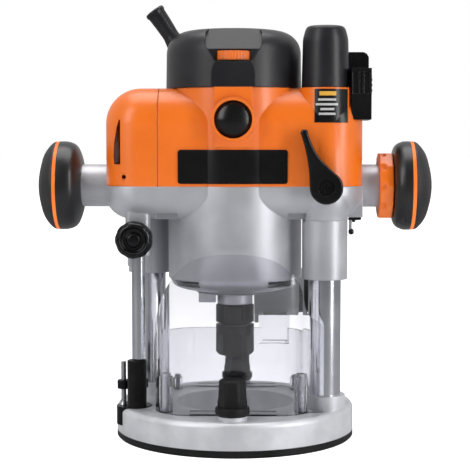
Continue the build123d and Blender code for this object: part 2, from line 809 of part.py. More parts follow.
vent_outline = [
    (-81.9, 236.5), (-81.9, 204.5), (-86.4, 204.5), (-87.2, 209), (-86.6, 220), (-84.6, 231), (-83, 236.5),
]
cover_screw_x, cover_screw_z = -79.4, 195.4
with BuildPart() as end_cover:
    add(upper_shell.part)
    split(bisect_by=Plane(origin=(seam_x - 0.3, 0, 0), z_dir=(1, 0, 0)), keep=Keep.BOTTOM)
    # Tall vent slots, front and rear.
    with BuildSketch(facing_front(0, 60, 0)):
        Polygon(*vent_outline, align=None)
    extrude(amount=34, mode=Mode.SUBTRACT)
    with BuildSketch(facing_front(0, -26, 0)):
        Polygon(*vent_outline, align=None)
    extrude(amount=34, mode=Mode.SUBTRACT)
    # Dimple and hole for the small cover screw.
    with BuildSketch(facing_front(cover_screw_x - 1.6, -43, cover_screw_z)):
        Circle(3.4)
    extrude(amount=10, mode=Mode.SUBTRACT)
    with BuildSketch(facing_front(cover_screw_x, -39, cover_screw_z)):
        Circle(1.5)
    extrude(amount=14, mode=Mode.SUBTRACT)

# =====================================================================
# Carriage: covers and caps
# =====================================================================
dial_z, dial_height = 279, 6.6
dial_y = -39.2
dial_radius = 13.4
dial_stem_radius = 3
dial_window = 11.9
scoop_floor = 278.2
cover_band_half, cover_band_front = 15.8, 54
cover_profile = Plane(origin=(cover_x, 0, 0), x_dir=(1, 0, 0), z_dir=(0, -1, 0))
cover_axis = Axis((cover_x, 0, 0), (0, 0, 1))


def cut_scoop(wall):
    """Sloping hollow over the dial, thickened by a wall all round."""
    with BuildPart() as scoop:
        with BuildSketch(facing_front(0, -20, 0)):
            Polygon(
                (-dial_window - 1 - wall, scoop_floor - wall), (dial_window + 1 + wall, scoop_floor - wall),
                (20.3 + wall, 290), (20.3 + wall, 299.5), (15 + wall, 306), (-15 - wall, 306),
                (-20.3 - wall, 299.5), (-20.3 - wall, 290), align=None,
            )
        extrude(amount=50)
        with BuildSketch(facing_right(-40, 0, 0)):
            Polygon(
                (-70, scoop_floor - wall), (-46 + wall, scoop_floor - wall), (-46 + wall, 287),
                (-29.5 + wall, 304.5), (-29.5 + wall, 306), (-70, 306), align=None,
            )
        extrude(amount=80, mode=Mode.INTERSECT)
    return scoop.part


with BuildPart() as cover_room:
    with BuildSketch(cover_profile):
        with BuildLine():
            roof = Spline((46.9, 284), (43.6, 295), (31, cover_top - 3.6), tangents=((0, 1), (-1, 0.05)))
            Polyline(roof @ 1, (0, cover_top - 3), (0, body_top), (46.9, body_top), roof @ 0)
        make_face()
    revolve(axis=cover_axis)
    add(cut_scoop(cover_wall), mode=Mode.SUBTRACT)

with BuildPart() as top_cover:
    with BuildSketch(cover_profile):
        with BuildLine():
            shoulder = Spline(
                (cover_radius - 0.4, 285), (46.5, 296), (31, cover_top - 0.6), tangents=((0, 1), (-1, 0.06))
            )
            Polyline(
                shoulder @ 1, (0, cover_top), (0, body_top), (cover_radius, body_top), shoulder @ 0
            )
        make_face()
    revolve(axis=cover_axis)
    with BuildSketch(facing_front(0, -40, 0)):
        Polygon(
            (-cover_band_half, body_top), (cover_band_half, body_top), (cover_band_half, 270),
            (14.8, 275), (dial_window + 1, scoop_floor), (-dial_window - 1, scoop_floor),
            (-14.8, 275), (-cover_band_half, 270), align=None,
        )
    extrude(amount=cover_band_front - 40)
    add(cut_scoop(0), mode=Mode.SUBTRACT)
    add(cover_room.part, mode=Mode.SUBTRACT)
    # Window for the dial, and the notch that marks its setting.
    with Locations((0, -46, scoop_floor + 0.2)):
        Box(2 * dial_window, 26, 8, align=(Align.CENTER, Align.CENTER, Align.MIN), mode=Mode.SUBTRACT)
    with BuildSketch(above(scoop_floor + 0.2)):
        with Locations((0, dial_y)):
            Circle(dial_radius + 0.4)
    extrude(amount=8, mode=Mode.SUBTRACT)
    with BuildSketch(facing_front(0, -50, 0)):
        Polygon((-1.1, scoop_floor), (1.1, scoop_floor), (0, scoop_floor - 1.8), align=None)
    extrude(amount=10, mode=Mode.SUBTRACT)

with BuildPart() as spring_cap:
    with BuildSketch(Plane(origin=(column_x, -column_y, 0), x_dir=(1, 0, 0), z_dir=(0, -1, 0))):
        with BuildLine():
            crown = Spline((16.6, 291), (15.2, 300), (10.5, spring_cap_top), tangents=((0, 1), (-1, 0)))
            Polyline(
                crown @ 1, (0, spring_cap_top), (0, spring_top + 0.4), (13, spring_top + 0.4),
                (13, body_top), (17.4, body_top), crown @ 0,
            )
        make_face()
    revolve(axis=Axis((column_x, -column_y, 0), (0, 0, 1)))

brush_dome_radius = 23.2
with BuildPart() as brush_cap:
    with BuildSketch(facing_front(0, -52.3, brush_z)):
        Circle(brush_cap_radius)
    extrude(amount=5.7)
    with Locations((0, brush_dome_radius - 58, brush_z)):
        Sphere(brush_dome_radius, mode=Mode.INTERSECT)
with BuildPart() as brush_caps:
    add(brush_cap.part)
    add(brush_cap.part.mirror(Plane.XZ))

with BuildPart() as brush_holders:
    for side in (-1, 1):
        with BuildSketch(facing_front(0, side * 35.5 + 16, brush_z)):
            Circle(7)
            Rectangle(6.4, 9.4, mode=Mode.SUBTRACT)
        extrude(amount=32)

with BuildPart() as carbon_brushes:
    for side in (-1, 1):
        with Locations((0, side * 24.8, brush_z)):
            Box(6, 18.8, 9)

plate_thickness = 0.8
plate_width, plate_height = 79, 24.5
with BuildPart() as nameplate:
    with BuildSketch(above(190.5)):
        Rectangle(3 * barrel_radius, 2 * (body_half_depth + plate_thickness))
        Circle(barrel_radius + plate_thickness)
        Rectangle(4 * barrel_radius, 2 * body_half_depth, mode=Mode.SUBTRACT)
        Circle(barrel_radius, mode=Mode.SUBTRACT)
    extrude(amount=plate_height)
    with BuildSketch(facing_front(-0.5, -30, 190.5 + plate_height / 2)):
        RectangleRounded(plate_width, plate_height, 2)
    extrude(amount=30, mode=Mode.INTERSECT)

label_bottom, label_height = 234.5, 24
label_thickness = 0.5
with BuildPart() as label_sheet:
    add(upper_shell.part.moved(Location((0, -label_thickness, 0))))
    add(upper_shell.part, mode=Mode.SUBTRACT)
    with Locations((column_x - 8.4, -33, label_bottom)):
        Box(24, 30, label_height, align=(Align.MIN, Align.MAX, Align.MIN), mode=Mode.INTERSECT)
with BuildPart() as warning_label:
    add(label_sheet.solids().sort_by(SortBy.VOLUME)[-1])

# =====================================================================
# Motor
# =====================================================================
with BuildPart() as stator_core:
    with BuildSketch(above(155)):
        Circle(barrel_bore)
        Circle(25, mode=Mode.SUBTRACT)
        with Locations((0, 0)):
            for side in (-1, 1):
                with Locations((side * 35.5, 0)):
                    Rectangle(9, 40, mode=Mode.SUBTRACT)
    extrude(amount=55)

with BuildPart() as stator_windings:
    for side in (-1, 1):
        with Locations((side * 35.5, 0, 182.5)):
            Box(8.4, 39.4, 72)
    fillet(stator_windings.edges().filter_by(Axis.Y), 3)

with BuildPart() as spindle_bearings:
    with BuildSketch(above(110)):
        Circle(21)
        Circle(bearing_bore, mode=Mode.SUBTRACT)
    extrude(amount=13)
    with BuildSketch(above(255.5)):
        Circle(13)
        Circle(5.02, mode=Mode.SUBTRACT)
    extrude(amount=8)

with BuildPart() as speed_control_board:
    with BuildSketch(above(272)):
        Circle(43)
        Circle(14, mode=Mode.SUBTRACT)
        with Locations((0, -50)):
            Rectangle(60, 24, mode=Mode.SUBTRACT)
    extrude(amount=1.6)
    with Locations((18, 14, 273.6), (-20, 12, 273.6)):
        Box(14, 18, 12, align=(Align.CENTER, Align.CENTER, Align.MIN))
    # Speed potentiometer, with the socket for the dial's stem.
    with Locations((0, dial_y + 2, 272)):
        Box(13, 11, 6.4, align=(Align.CENTER, Align.CENTER, Align.MIN))
    with BuildSketch(above(dial_z - 6.4)):
        with Locations((0, dial_y)):
            Circle(dial_stem_radius + 0.06)
    extrude(amount=10, mode=Mode.SUBTRACT)

with BuildPart() as housing_screws:
    with BuildSketch(above(body_bottom + 2)):
        with Locations(*housing_screw_places):
            Circle(3.3)
            RegularPolygon(1.6, 6, mode=Mode.SUBTRACT)
    extrude(amount=3)
    with BuildSketch(above(body_bottom + 4.6)):
        with Locations(*housing_screw_places):
            Circle(1.7)
    extrude(amount=30)

with BuildPart() as spindle:
    with BuildSketch(side_profile):
        Polygon(
            (0, 72), (10.8, 72), (10.8, 102), (spindle_radius, 103), (spindle_radius, 124.5),
            (8, 125), (8, 222), (7, 223), (7, 254), (4.98, 254.5), (4.98, 264.5), (0, 264.5),
            align=None,
        )
    revolve(axis=Axis.Z)
    with BuildSketch(above(72)):
        Circle(8)
    extrude(amount=28, mode=Mode.SUBTRACT)

with BuildPart() as armature:
    with BuildSketch(above(156)):
        Circle(24)
        Circle(8, mode=Mode.SUBTRACT)
        with PolarLocations(24, 14):
            Rectangle(3, 1.8, mode=Mode.SUBTRACT)
    extrude(amount=53)
    for bottom in (147, 209):
        with BuildSketch(above(bottom)):
            Circle(20)
            Circle(8, mode=Mode.SUBTRACT)
        extrude(amount=9)

with BuildPart() as commutator:
    with BuildSketch(above(226)):
        Circle(15)
        Circle(7, mode=Mode.SUBTRACT)
        with PolarLocations(15, 24):
            Rectangle(1.6, 0.5, mode=Mode.SUBTRACT)
    extrude(amount=21)

with BuildPart() as cooling_fan:
    with BuildSketch(above(126)):
        Circle(42)
        Circle(8, mode=Mode.SUBTRACT)
    extrude(amount=2)
    with BuildSketch(above(128)):
        Circle(13)
        Circle(8, mode=Mode.SUBTRACT)
        with PolarLocations(26, 11):
            Rectangle(29, 1.8, rotation=24)
    extrude(amount=13)

with BuildPart() as collet:
    with BuildSketch(side_profile):
        Polygon(
            (collet_bore, 60.9), (9.2, 60.9), (9.2, 72), (8, 72), (8, 99.5), (collet_bore, 99.5),
            align=None,
        )
    revolve(axis=Axis.Z)
    with BuildSketch(above(60)):
        with PolarLocations(8, 4, 45):
            Rectangle(5, 0.9)
    extrude(amount=30, mode=Mode.SUBTRACT)

with BuildPart() as collet_nut:
    with BuildSketch(side_profile):
        Polygon(
            (9.2, nut_bottom), (12.4, nut_bottom), (nut_radius, 62.6), (nut_radius, 83.2),
            (11.8, 83.2), (11.8, 85.4),
            (nut_radius, 85.4), (nut_radius, 97.6), (13.4, nut_top), (10.8, nut_top), (10.8, 72), (9.2, 72),
            align=None,
        )
    revolve(axis=Axis.Z)
    with BuildSketch(above(60)):
        Circle(18)
        RegularPolygon(13.4, 6, major_radius=False, mode=Mode.SUBTRACT)
    extrude(amount=16, mode=Mode.SUBTRACT)
    with BuildSketch(above(87.5)):
        with PolarLocations(nut_radius, 6):
            Circle(1.6)
    extrude(amount=12, mode=Mode.SUBTRACT)


# =====================================================================
# Handles
# =====================================================================
def make_tube(inner_x, outer_x, bore):
    with BuildPart() as tube:
        with BuildSketch(facing_right(inner_x, handle_y, handle_z)):
            Circle(handle_tube_radius)
            Circle(bore, mode=Mode.SUBTRACT)
        extrude(amount=outer_x - inner_x)
    return tube.part


tube_seat_x = 118
with BuildPart() as handle_tube_left:
    add(make_tube(-tube_seat_x, -84, 9))
    # Closed end and spigot that carries the fixed grip.
    with BuildSketch(facing_right(-tube_seat_x, handle_y, handle_z)):
        Circle(12)
    extrude(amount=4)
    with BuildSketch(facing_right(-143.5, handle_y, handle_z)):
        Circle(winder_shaft_radius)
    extrude(amount=143.5 - tube_seat_x)
with BuildPart() as handle_tube_right:
    add(make_tube(84, right_grip_x - 0.7, winder_shaft_radius + 0.06))

band_x0, band_x1 = 129.8, 132.4
core_bore = winder_shaft_radius
right_flank = [
    (right_grip_x, 17), (right_grip_x + 0.3, 26.5), (119.6, 30.2), (124, 32.5), (band_x0, grip_radius),
]
left_flank = [
    (left_grip_x, 16.6), (114.2, 21.4), (115.6, 25.6), (118.6, 30.4), (124, 32.6), (band_x0, grip_radius),
]


def make_core(flank):
    """Inner half of a grip, seated over a tube where it starts before the tube's end."""
    with BuildPart() as grip:
        with BuildSketch(handle_profile):
            with BuildLine():
                side = Spline(*flank, tangents=((0.1, 1), (1, 0)))
                if flank[0][0] < tube_seat_x - 1:
                    Polyline(
                        side @ 1, (band_x0, core_bore), (tube_seat_x, core_bore),
                        (tube_seat_x, handle_tube_radius), (flank[0][0], handle_tube_radius), side @ 0,
                    )
                else:
                    Polyline(side @ 1, (band_x0, core_bore), (flank[0][0], core_bore), side @ 0)
            make_face()
        revolve(axis=handle_axis)
    return grip.part


def make_band():
    """Thin coloured ring between the two halves of a grip."""
    with BuildPart() as grip:
        with BuildSketch(handle_profile):
            Polygon(
                (band_x0, core_bore), (band_x0, grip_radius), (band_x1, grip_radius - 0.2),
                (band_x1, core_bore), align=None,
            )
        revolve(axis=handle_axis)
    return grip.part


def make_cap():
    """Outer half of a grip: a dome with a low raised centre."""
    with BuildPart() as grip:
        with BuildSketch(handle_profile):
            with BuildLine():
                rim = Spline(
                    (band_x1, grip_radius - 0.2), (136.2, 30.8), (140.4, 25.6), (143, 19.4),
                    tangents=((1, -0.06), (0.3, -1)),
                )
                centre = Spline(rim @ 1, (145.3, 10.4), (grip_tip_x, 0), tangents=((0.3, -1), (0, -1)))
                Polyline(centre @ 1, (144, 0), (144, core_bore), (band_x1, core_bore), rim @ 0)
            make_face()
        revolve(axis=handle_axis)
    return grip.part


with BuildPart() as grip_core_right:
    add(make_core(right_flank))
with BuildPart() as grip_band_right:
    add(make_band())
with BuildPart() as grip_cap_right:
    add(make_cap())
with BuildPart() as grip_core_left:
    add(make_core(left_flank).mirror(Plane.YZ))
with BuildPart() as grip_band_left:
    add(make_band().mirror(Plane.YZ))
with BuildPart() as grip_cap_left:
    add(make_cap().mirror(Plane.YZ))

with BuildPart() as winder_shaft:
    with BuildSketch(facing_right(pinion_x0 - 4, handle_y, handle_z)):
        Circle(winder_shaft_radius)
    extrude(amount=144 - pinion_x0 + 4)
    pinion_root = pinion_pitch_radius - 1.25 * pinion_module
    pinion_tip = pinion_pitch_radius + 0.95 * pinion_module
    with BuildSketch(facing_right(pinion_x0, handle_y, handle_z)):
        Circle(pinion_root)
        with PolarLocations(0, pinion_teeth, 180):
            Polygon(
                (pinion_root - 1, -1.25),
                (pinion_pitch_radius, -0.82),
                (pinion_tip, -0.36),
                (pinion_tip, 0.36),
                (pinion_pitch_radius, 0.82),
                (pinion_root - 1, 1.25),
                align=None,
            )
    extrude(amount=pinion_length)

ring_x0, ring_x1 = 106.4, 116.6
with BuildPart() as selector_ring:
    with BuildSketch(facing_right(ring_x0, handle_y, handle_z)):
        Circle(25)
        Circle(handle_tube_radius + 0.35, mode=Mode.SUBTRACT)
    extrude(amount=ring_x1 - ring_x0)
    outer_rims = selector_ring.edges().filter_by(GeomType.CIRCLE).group_by(Axis.X)[-1]
    chamfer(outer_rims.sort_by(SortBy.LENGTH)[-1], 1.2)
    with BuildSketch(facing_right(ring_x0, handle_y, handle_z)):
        with PolarLocations(25.8, 12):
            Circle(2.6)
    extrude(amount=6.5, mode=Mode.SUBTRACT)

# =====================================================================
# Plunge lock, depth rod and its knob
# =====================================================================
lever_back = -49.2
lever_front = -57.8
with BuildPart() as plunge_lock_lever:
    with BuildSketch(facing_front(column_x, lever_back, lock_z)):
        Circle(11.9)
        with BuildLine():
            left_edge = Spline((-11.9, 0), (-12.6, 13), (-18.6, 39), tangents=((0, 1), (-0.35, 1)))
            tip = ThreePointArc((-18.6, 39), (-15.4, 41.6), (-13.2, 38.6))
            right_edge = Spline((-13.2, 38.6), (-4.2, 20.5), (10.2, 6.1), tangents=((0.3, -1), (0.85, -1)))
            Line((10.2, 6.1), (0, 0))
            Line((0, 0), (-11.9, 0))
        make_face()
    extrude(amount=lever_back - lever_front)
    fillet(plunge_lock_lever.edges().group_by(Axis.Y)[0], 1.6)
    with BuildSketch(facing_front(column_x, -54.8, lock_z)):
        Circle(5.6)
    extrude(amount=10, mode=Mode.SUBTRACT)
    with BuildSketch(facing_front(column_x, -40, lock_z)):
        Circle(4)
    extrude(amount=30, mode=Mode.SUBTRACT)

with BuildPart() as lever_screw:
    with BuildSketch(facing_front(column_x, -column_y - column_radius - 0.4, lock_z)):
        Circle(4)
    extrude(amount=54.8 - column_y - column_radius - 0.4)
    with BuildSketch(facing_front(column_x, -54.8, lock_z)):
        Circle(5.2)
    extrude(amount=2.2)
    with BuildSketch(facing_front(column_x, -56, lock_z)):
        Rectangle(6.4, 1.2)
        Rectangle(1.2, 6.4)
    extrude(amount=3, mode=Mode.SUBTRACT)

with BuildPart() as depth_rod:
    with BuildSketch(above(rod_bottom)):
        with Locations((rod_x, rod_y)):
            Circle(rod_radius)
    extrude(amount=rod_top - rod_bottom)
    chamfer(depth_rod.edges().filter_by(GeomType.CIRCLE), 0.6)

depth_knob_back = -41.2
with BuildPart() as depth_lock_knob:
    with BuildSketch(facing_front(depth_knob_x, depth_knob_back, depth_knob_z)):
        Circle(13.7)
        with PolarLocations(14.2, 24):
            Circle(0.9, mode=Mode.SUBTRACT)
    extrude(amount=13)
    with BuildSketch(facing_front(depth_knob_x, depth_knob_back - 10, depth_knob_z)):
        Circle(9)
    extrude(amount=5, mode=Mode.SUBTRACT)
    with BuildSketch(facing_front(depth_knob_x, depth_knob_back - 8, depth_knob_z)):
        Circle(4.2)
    extrude(amount=4.4)
    with BuildSketch(facing_front(depth_knob_x, rod_y - rod_radius - 0.4, depth_knob_z)):
        Circle(2.9)
    extrude(amount=12)

# =====================================================================
# Speed dial, switch
# =====================================================================
with BuildPart() as speed_dial:
    with BuildSketch(above(dial_z)):
        with Locations((0, dial_y)):
            Circle(dial_radius)
            with PolarLocations(dial_radius + 0.3, 36):
                Circle(0.7, mode=Mode.SUBTRACT)
    extrude(amount=dial_height)
    with BuildSketch(above(dial_z - 6)):
        with Locations((0, dial_y)):
            Circle(dial_stem_radius)
    extrude(amount=6)

rocker_x, rocker_z = 97.2, 273.4
with BuildPart() as switch_housing:
    with Locations((switch_x0, (switch_y0 + switch_y1) / 2, switch_bottom)):
        Box(
            switch_x1 - switch_x0,
            switch_y1 - switch_y0,
            switch_top - switch_bottom,
            align=(Align.MIN, Align.CENTER, Align.MIN),
        )
    fillet(switch_housing.edges().filter_by(Axis.Y).group_by(Axis.Z)[-1].sort_by(Axis.X)[-1], 5)
    # Arm that runs forward over the corner of the shell.
    with Locations((switch_arm_x, switch_arm_y, switch_bottom)):
        Box(
            switch_x1 - switch_arm_x,
            switch_y0 - switch_arm_y,
            switch_ledge - switch_bottom,
            align=(Align.MIN, Align.MIN, Align.MIN),
        )
    with Locations((switch_x1, (switch_y0 + switch_y1) / 2, switch_bottom)):
        Box(1.1, switch_y1 - switch_y0, 19, align=(Align.MIN, Align.CENTER, Align.MIN))
    # Window for the rocker.
    with Locations((switch_x1 + 3, 8, rocker_z)):
        Box(20, 16, 22, align=(Align.MAX, Align.CENTER, Align.CENTER), mode=Mode.SUBTRACT)
    with BuildSketch(facing_front(rocker_x - 4, 19.4, rocker_z)):
        Circle(1.56)
    extrude(amount=22.8, mode=Mode.SUBTRACT)
    # Sunk panel on the front of the arm, with two upright ribs left in it.
    with BuildSketch(facing_front(0, switch_arm_y + 1.2, 0)):
        with Locations((92, switch_ledge - 10.4)):
            Rectangle(12.4, 16)
        with Locations((90.4, switch_ledge - 10.4), (93.4, switch_ledge - 10.4)):
            Rectangle(1.2, 16, mode=Mode.SUBTRACT)
    extrude(amount=4, mode=Mode.SUBTRACT)

with BuildPart() as switch_rocker:
    with BuildSketch(facing_front(rocker_x - 6, 8 + 7.6, rocker_z)):
        with BuildLine():
            Polyline((0, -5), (0, 5), (7, 9.4), (8.2, 9.4))
            ThreePointArc((8.2, 9.4), (7.4, 0), (8.2, -9.4))
            Polyline((8.2, -9.4), (7, -9.4), (0, -5))
        make_face()
    extrude(amount=15.2)
    # Pivot pin.
    with BuildSketch(facing_front(rocker_x - 4, 19, rocker_z)):
        Circle(1.5)
    extrude(amount=22)

shutter_x = switch_x1 + 1.6
with BuildPart() as switch_shutter:
    with Locations((shutter_x, 8, 255.8)):
        Box(1.2, 20, 14.5, align=(Align.MIN, Align.CENTER, Align.MIN))
    with Locations((shutter_x + 1.2, 8, 258.2), (shutter_x + 1.2, 8, 262.2), (shutter_x + 1.2, 8, 266.2)):
        Box(0.5, 16, 1.6, align=(Align.MIN, Align.CENTER, Align.MIN))

# =====================================================================
# Strain relief sleeve
# =====================================================================
sleeve_foot = (-45.5, 25, 294)
sleeve_direction = (-0.54, 0, 0.84)
with BuildPart() as cord_sleeve:
    with BuildSketch(Plane(origin=sleeve_foot, z_dir=sleeve_direction)):
        Circle(6.9)
    extrude(amount=31)
    with BuildSketch(Plane(origin=sleeve_foot, z_dir=sleeve_direction).offset(29)):
        Circle(7.4)
    extrude(amount=3)
    add(top_cover.part, mode=Mode.SUBTRACT)
    with BuildSketch(Plane(origin=sleeve_foot, z_dir=sleeve_direction).offset(8)):
        Circle(4)
    extrude(amount=30, mode=Mode.SUBTRACT)

pieces = {
    "sole_plate": sole_plate,
    "base_casting": base_casting,
    "sole_screws": sole_screws,
    "column_left": column_left,
    "column_right": column_right,
    "column_bolts": column_bolts,
    "plunge_spring": plunge_spring,
    "guard_front": guard_front,
    "guard_rear": guard_rear,
    "guard_screws": guard_screws,
    "dust_spout": dust_spout,
    "dust_collar": dust_collar,
    "turret_disc": turret_disc,
    "turret_post": turret_post,
    "turret_stop_screws": turret_stop_screws,
    "turret_stop_nuts": turret_stop_nuts,
    "turret_screw": turret_screw,
    "fence_knob_front": fence_knob_front,
    "fence_knob_rear": fence_knob_rear,
    "lower_housing": lower_housing,
    "motor_housing": motor_housing,
    "end_cover": end_cover,
    "top_cover": top_cover,
    "spring_cap": spring_cap,
    "column_bushes": column_bushes,
    "nameplate": nameplate,
    "warning_label": warning_label,
    "brush_caps": brush_caps,
    "brush_holders": brush_holders,
    "carbon_brushes": carbon_brushes,
    "stator_core": stator_core,
    "stator_windings": stator_windings,
    "spindle_bearings": spindle_bearings,
    "speed_control_board": speed_control_board,
    "housing_screws": housing_screws,
    "handle_tube_left": handle_tube_left,
    "handle_tube_right": handle_tube_right,
    "grip_core_left": grip_core_left,
    "grip_band_left": grip_band_left,
    "grip_cap_left": grip_cap_left,
    "cord_sleeve": cord_sleeve,
    "switch_housing": switch_housing,
    "spindle": spindle,
    "armature": armature,
    "commutator": commutator,
    "cooling_fan": cooling_fan,
    "collet": collet,
    "collet_nut": collet_nut,
    "winder_shaft": winder_shaft,
    "grip_core_right": grip_core_right,
    "grip_band_right": grip_band_right,
    "grip_cap_right": grip_cap_right,
    "selector_ring": selector_ring,
    "plunge_lock_lever": plunge_lock_lever,
    "lever_screw": lever_screw,
    "depth_rod": depth_rod,
    "depth_lock_knob": depth_lock_knob,
    "speed_dial": speed_dial,
    "switch_rocker": switch_rocker,
    "switch_shutter": switch_shutter,
}

os.makedirs("parts", exist_ok=True)
for name, piece in pieces.items():
    piece.part.label = name
    export_step(piece.part, f"parts/{name}.step")
    print(name, len(piece.part.solids()), round(piece.part.volume))
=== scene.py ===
from math import cos, pi, radians, sin

import bmesh
import bpy
from mathutils import Matrix, Vector


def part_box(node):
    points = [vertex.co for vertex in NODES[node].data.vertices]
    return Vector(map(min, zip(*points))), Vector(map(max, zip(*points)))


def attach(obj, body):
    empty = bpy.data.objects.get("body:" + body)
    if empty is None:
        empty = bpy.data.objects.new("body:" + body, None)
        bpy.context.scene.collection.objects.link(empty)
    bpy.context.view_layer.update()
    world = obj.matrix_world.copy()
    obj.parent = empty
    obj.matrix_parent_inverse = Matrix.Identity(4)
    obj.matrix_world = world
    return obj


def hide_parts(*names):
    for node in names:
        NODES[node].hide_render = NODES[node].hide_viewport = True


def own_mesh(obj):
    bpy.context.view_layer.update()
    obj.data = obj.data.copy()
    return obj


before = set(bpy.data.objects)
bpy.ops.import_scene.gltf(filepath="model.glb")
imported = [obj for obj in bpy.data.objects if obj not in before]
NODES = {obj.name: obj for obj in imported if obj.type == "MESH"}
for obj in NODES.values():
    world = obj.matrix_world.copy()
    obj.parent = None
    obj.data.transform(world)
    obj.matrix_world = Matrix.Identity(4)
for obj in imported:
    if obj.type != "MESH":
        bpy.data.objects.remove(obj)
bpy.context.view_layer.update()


MM = 0.001
scene = bpy.context.scene


# ---------------------------------------------------------------- node helpers
def tree_of(name):
    material = bpy.data.materials.new(name)
    material.use_nodes = True
    nodes = material.node_tree.nodes
    links = material.node_tree.links
    shader = nodes["Principled BSDF"]
    coords = nodes.new("ShaderNodeTexCoord")
    return material, nodes, links, shader, coords.outputs["Object"]


def noise(nodes, links, coords, scale, detail=3.0, stretch=None):
    texture = nodes.new("ShaderNodeTexNoise")
    texture.inputs["Scale"].default_value = scale
    texture.inputs["Detail"].default_value = detail
    if stretch:
        mapping = nodes.new("ShaderNodeMapping")
        mapping.inputs["Scale"].default_value = stretch
        links.new(coords, mapping.inputs["Vector"])
        coords = mapping.outputs["Vector"]
    links.new(coords, texture.inputs["Vector"])
    return texture.outputs["Fac"]


def tones(nodes, links, fac, low, high, start=0.35, end=0.65):
    ramp = nodes.new("ShaderNodeValToRGB")
    ramp.color_ramp.elements[0].position = start
    ramp.color_ramp.elements[0].color = (*low, 1)
    ramp.color_ramp.elements[1].position = end
    ramp.color_ramp.elements[1].color = (*high, 1)
    links.new(fac, ramp.inputs["Fac"])
    return ramp.outputs["Color"]


def spread(nodes, links, value, low, high, start=0.3, end=0.7):
    """A value from start to end becomes one from low to high."""
    node = nodes.new("ShaderNodeMapRange")
    node.inputs["From Min"].default_value = start
    node.inputs["From Max"].default_value = end
    node.inputs["To Min"].default_value = low
    node.inputs["To Max"].default_value = high
    links.new(value, node.inputs["Value"])
    return node.outputs["Result"]


def mixed(nodes, links, factor, first, second, kind="RGBA"):
    """Mix of two inputs, each a socket or a plain value."""
    node = nodes.new("ShaderNodeMix")
    node.data_type = kind
    links.new(factor, node.inputs["Factor"])
    for socket, value in (("A", first), ("B", second)):
        if isinstance(value, bpy.types.NodeSocket):
            links.new(value, node.inputs[socket])
        else:
            node.inputs[socket].default_value = value
    return node.outputs["Result"]


def maths(nodes, links, operation, first, second, third=None):
    """Math node with its result kept between 0 and 1."""
    node = nodes.new("ShaderNodeMath")
    node.operation = operation
    node.use_clamp = True
    for index, value in enumerate((first, second, third)):
        if isinstance(value, bpy.types.NodeSocket):
            links.new(value, node.inputs[index])
        elif value is not None:
            node.inputs[index].default_value = value
    return node.outputs["Value"]


def bump(nodes, links, shader, height, strength, distance=0.0002, edge=0.0):
    node = nodes.new("ShaderNodeBump")
    node.inputs["Strength"].default_value = strength
    node.inputs["Distance"].default_value = distance
    links.new(height, node.inputs["Height"])
    if edge:
        rounding = nodes.new("ShaderNodeBevel")
        rounding.samples = 6
        rounding.inputs["Radius"].default_value = edge
        links.new(rounding.outputs["Normal"], node.inputs["Normal"])
    links.new(node.outputs["Normal"], shader.inputs["Normal"])


# ---------------------------------------------------------------- camera and light
CAMERA_DISTANCE, CAMERA_HEIGHT = 1.030, 0.222
turn, tilt = radians(1.4), radians(3.97)
camera_data = bpy.data.cameras.new("camera")
camera_data.lens = 104.8
camera_data.sensor_width = 36
camera_data.clip_start = 0.05
camera = bpy.data.objects.new("camera", camera_data)
scene.collection.objects.link(camera)
camera.location = (CAMERA_DISTANCE * sin(turn), -CAMERA_DISTANCE * cos(turn), CAMERA_HEIGHT)
look = Vector((-sin(turn) * cos(tilt), cos(turn) * cos(tilt), -sin(tilt)))
camera.rotation_euler = look.to_track_quat("-Z", "Y").to_euler()
scene.camera = camera

scene.view_settings.view_transform = "Standard"


def studio_world():
    """White backdrop for the camera; reflections see a darker front half of the studio."""
    world = bpy.data.worlds.new("studio")
    world.use_nodes = True
    nodes, links = world.node_tree.nodes, world.node_tree.links
    background = nodes["Background"]
    background.inputs["Color"].default_value = (1, 1, 1, 1)
    direction = nodes.new("ShaderNodeTexCoord")
    parts = nodes.new("ShaderNodeSeparateXYZ")
    links.new(direction.outputs["Generated"], parts.inputs["Vector"])
    front_to_back = spread(nodes, links, parts.outputs["Y"], 0.10, 0.62, -0.75, 0.35)
    seen = nodes.new("ShaderNodeLightPath")
    strength = mixed(nodes, links, seen.outputs["Is Camera Ray"], front_to_back, 1.0, "FLOAT")
    links.new(strength, background.inputs["Strength"])
    return world


scene.world = studio_world()


def softbox(name, place, aim, width, height, power):
    data = bpy.data.lights.new(name, "AREA")
    data.shape = "RECTANGLE"
    data.size = width
    data.size_y = height
    data.energy = power
    light = bpy.data.objects.new(name, data)
    scene.collection.objects.link(light)
    light.location = place
    light.rotation_euler = (Vector(aim) - Vector(place)).to_track_quat("-Z", "Y").to_euler()


softbox("key", (-0.80, -0.80, 0.75), (0, 0, 0.17), 0.40, 1.0, 6)
softbox("fill", (0.90, -0.65, 0.42), (0, 0, 0.16), 0.22, 1.0, 6.5)
softbox("top", (0, 0.1, 1.2), (0, 0, 0.2), 1.1, 0.8, 9)


# ---------------------------------------------------------------- materials
def surface(name, low, high, rough, metallic=0.0, grain=1400.0, relief=0.12, mottle=26.0,
            stretch=None, coat=0.0, specular=0.5, edge=0.0007):
    """Mottled colour between two tones, roughness that drifts, and a fine grain in the relief."""
    material, nodes, links, shader, coords = tree_of(name)
    broad = noise(nodes, links, coords, mottle, 4.0)
    fine = noise(nodes, links, coords, grain, 2.0, stretch)
    links.new(tones(nodes, links, broad, low, high), shader.inputs["Base Color"])
    links.new(spread(nodes, links, broad, rough[0], rough[1]), shader.inputs["Roughness"])
    shader.inputs["Metallic"].default_value = metallic
    shader.inputs["Specular IOR Level"].default_value = specular
    shader.inputs["Coat Weight"].default_value = coat
    shader.inputs["Coat Roughness"].default_value = 0.18
    bump(nodes, links, shader, fine, relief, edge=edge)
    return material


